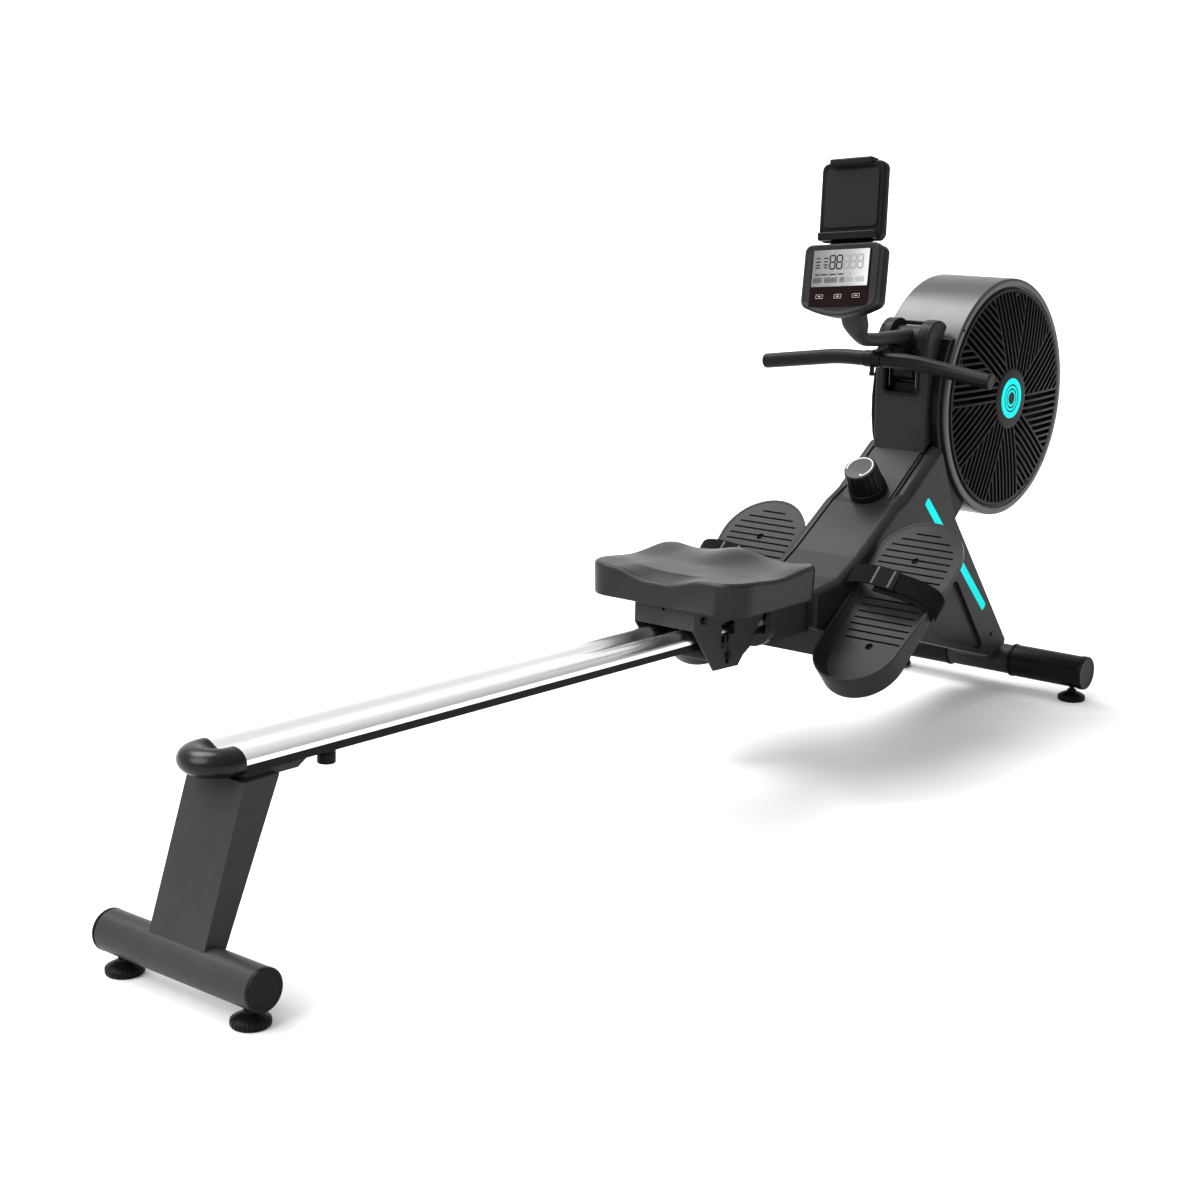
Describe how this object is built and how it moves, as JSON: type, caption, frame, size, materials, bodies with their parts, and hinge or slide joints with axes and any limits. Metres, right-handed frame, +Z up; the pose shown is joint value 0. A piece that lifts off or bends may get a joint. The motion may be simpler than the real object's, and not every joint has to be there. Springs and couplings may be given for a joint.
{
  "type": "rowing machine",
  "caption": "Air rowing machine with a rolling seat on a sloping aluminium rail, strap handle, fan with magnetic brake, strapped footplates and a monitor arm with phone holder",
  "frame": {"origin": "centre of the floor footprint's bounding box, on the floor", "axes": "+X along the rail towards the fan, +Y to the rower's left, +Z up"},
  "size_m": [2.2612, 0.5152, 1.0782],
  "materials": {
    "frame_paint": "satin black powder coat with a fine orange-peel texture",
    "shell_plastic": "fine-textured charcoal ABS",
    "black_plastic": "near-black moulded plastic",
    "rail_aluminium": "brushed and anodised extrusion, lines along its length",
    "bright_steel": "turned and brushed steel",
    "soft_rubber": "soft black rubber",
    "grip_foam": "smooth closed-cell foam sleeve",
    "seat_skin": "moulded polyurethane skin with a fine grain",
    "webbing": "woven black nylon webbing with hook-and-loop",
    "screen_glass": "printed console lens with a silver-grey liquid crystal display",
    "accent_cyan": "bright cyan print"
  },
  "bodies": {
    "frame": {"rear_stabilizer_tube": "frame_paint", "rear_end_cap_right": "black_plastic", "rear_end_cap_left": "black_plastic", "rear_post": "frame_paint", "rail_track": "rail_aluminium", "rail_channel": "frame_paint", "rail_end_cap": "soft_rubber", "seat_stop_right": "soft_rubber", "seat_stop_left": "soft_rubber", "rail_collar": "shell_plastic", "main_frame": "frame_paint", "pedal_frame": "frame_paint", "pedal_right": "shell_plastic", "pedal_left": "shell_plastic", "pedal_strap_right": "webbing", "pedal_strap_left": "webbing", "front_stabilizer_tube": "frame_paint", "front_end_sleeve_right": "shell_plastic", "front_end_sleeve_left": "shell_plastic", "side_shell_right": "shell_plastic", "side_shell_left": "shell_plastic", "top_cover": "shell_plastic", "leg_cover": "shell_plastic", "column_cover": "shell_plastic", "drum_shroud": "black_plastic", "fan_drum": "shell_plastic", "fan_grille_right": "black_plastic", "fan_grille_left": "black_plastic", "pull_strap": "webbing"},
    "rear_foot_right": {"rear_foot_right": "black_plastic"},
    "rear_foot_left": {"rear_foot_left": "black_plastic"},
    "front_foot_right": {"front_foot_right": "black_plastic"},
    "front_foot_left": {"front_foot_left": "black_plastic"},
    "seat": {"seat_pad": "seat_skin", "seat_carriage": "frame_paint", "seat_axle_rear": "bright_steel", "seat_axle_front": "bright_steel"},
    "seat_wheels_rear": {"seat_wheel_rear_right": "soft_rubber", "seat_wheel_rear_left": "soft_rubber"},
    "seat_wheels_front": {"seat_wheel_front_right": "soft_rubber", "seat_wheel_front_left": "soft_rubber"},
    "seat_roller": {"seat_roller_lower": "soft_rubber"},
    "handle": {"handle_bar": "frame_paint", "handle_grip_right": "grip_foam", "handle_grip_left": "grip_foam", "handle_clamp": "shell_plastic"},
    "guide_roller": {"strap_guide_roller": "bright_steel"},
    "spool": {"strap_spool": "shell_plastic"},
    "rotor": {"fan_wheel": "black_plastic", "flywheel": "bright_steel"},
    "magnet_yoke": {"magnet_yoke": "bright_steel"},
    "tension_knob": {"tension_knob": "black_plastic"},
    "monitor": {"monitor_arm": "frame_paint", "console_housing": "shell_plastic", "console_lens": "screen_glass"},
    "button_left": {"button_left": "black_plastic"},
    "button_middle": {"button_middle": "black_plastic"},
    "button_right": {"button_right": "black_plastic"},
    "phone_holder": {"phone_holder": "shell_plastic"},
    "phone_clip": {"phone_clip": "black_plastic"}
  },
  "joints": [
    {"name": "seat_slide", "type": "slide", "parent": "frame", "child": "seat", "axis": [0.9998, 0, -0.0206], "range_m": [-0.84, 0.008]},
    {"name": "seat_wheels_rear_roll", "type": "hinge", "parent": "seat", "child": "seat_wheels_rear", "pos_m": [-0.05438, 0, 0.33288], "axis": [0, 1, 0], "range_deg": [-2593, 30]},
    {"name": "seat_wheels_front_roll", "type": "hinge", "parent": "seat", "child": "seat_wheels_front", "pos_m": [0.08959, 0, 0.32992], "axis": [0, 1, 0], "range_deg": [-2593, 30]},
    {"name": "seat_roller_roll", "type": "hinge", "parent": "seat", "child": "seat_roller", "pos_m": [0.01517, 0, 0.26194], "axis": [0, 1, 0], "range_deg": [-32, 2837]},
    {"name": "handle_pull", "type": "slide", "parent": "frame", "child": "handle", "axis": [-1, 0, 0], "range_m": [0, 1.05], "stiffness_N_per_m": 15, "springref_m": -0.6, "deforming": ["pull_strap"]},
    {"name": "guide_roller_roll", "type": "hinge", "parent": "frame", "child": "guide_roller", "pos_m": [0.65695, 0, 0.678], "axis": [0, 1, 0], "range_deg": [-3938, 5]},
    {"name": "spool_unwind", "type": "hinge", "parent": "frame", "child": "spool", "pos_m": [0.89945, 0, 0.614], "axis": [0, 1, 0], "range_deg": [-1339, 5]},
    {"name": "fan_spin", "type": "hinge", "parent": "frame", "child": "rotor", "pos_m": [0.89945, 0, 0.614], "axis": [0, 1, 0], "continuous": true},
    {"name": "tension_turn", "type": "hinge", "parent": "frame", "child": "tension_knob", "pos_m": [0.53945, 0, 0.4654], "axis": [-0.5779, 0, 0.8161], "range_deg": [-135, 135]},
    {"name": "brake_swing", "type": "hinge", "parent": "frame", "child": "magnet_yoke", "pos_m": [0.75745, 0, 0.466], "axis": [0, 1, 0], "range_deg": [-6, 6]},
    {"name": "monitor_arm_tilt", "type": "hinge", "parent": "frame", "child": "monitor", "pos_m": [0.67595, 0, 0.74], "axis": [0, 1, 0], "range_deg": [0, 60]},
    {"name": "phone_holder_tilt", "type": "hinge", "parent": "monitor", "child": "phone_holder", "pos_m": [0.45631, 0.00471, 0.92577], "axis": [-0.0224, 0.9959, -0.0878], "range_deg": [-8, 25]},
    {"name": "phone_clip_slide", "type": "slide", "parent": "phone_holder", "child": "phone_clip", "axis": [0.1812, 0.0904, 0.9793], "range_m": [0, 0.04], "stiffness_N_per_m": 60, "springref_m": -0.05},
    {"name": "button_left_press", "type": "slide", "parent": "monitor", "child": "button_left", "axis": [0.969, 0, -0.247], "range_m": [0, 0.0012], "stiffness_N_per_m": 400, "springref_m": -0.001},
    {"name": "button_middle_press", "type": "slide", "parent": "monitor", "child": "button_middle", "axis": [0.969, 0, -0.247], "range_m": [0, 0.0012], "stiffness_N_per_m": 400, "springref_m": -0.001},
    {"name": "button_right_press", "type": "slide", "parent": "monitor", "child": "button_right", "axis": [0.969, 0, -0.247], "range_m": [0, 0.0012], "stiffness_N_per_m": 400, "springref_m": -0.001},
    {"name": "rear_foot_right_turn", "type": "hinge", "parent": "frame", "child": "rear_foot_right", "pos_m": [-1.10055, -0.128, 0], "axis": [0, 0, 1], "continuous": true},
    {"name": "front_foot_right_turn", "type": "hinge", "parent": "frame", "child": "front_foot_right", "pos_m": [1.01285, -0.204, 0], "axis": [0, 0, 1], "continuous": true},
    {"name": "rear_foot_left_turn", "type": "hinge", "parent": "frame", "child": "rear_foot_left", "pos_m": [-1.10055, 0.128, 0], "axis": [0, 0, 1], "continuous": true},
    {"name": "front_foot_left_turn", "type": "hinge", "parent": "frame", "child": "front_foot_left", "pos_m": [1.01285, 0.204, 0], "axis": [0, 0, 1], "continuous": true}
  ],
  "couplings": [
    {"joint": "seat_wheels_rear_roll", "follows": "seat_slide", "rad_per_m": 53.763},
    {"joint": "seat_wheels_front_roll", "follows": "seat_slide", "rad_per_m": 53.763},
    {"joint": "seat_roller_roll", "follows": "seat_slide", "rad_per_m": -58.824},
    {"joint": "guide_roller_roll", "follows": "handle_pull", "rad_per_m": -65.359},
    {"joint": "spool_unwind", "follows": "handle_pull", "rad_per_m": -22.173},
    {"joint": "brake_swing", "follows": "tension_turn", "ratio": 0.04444}
  ]
}
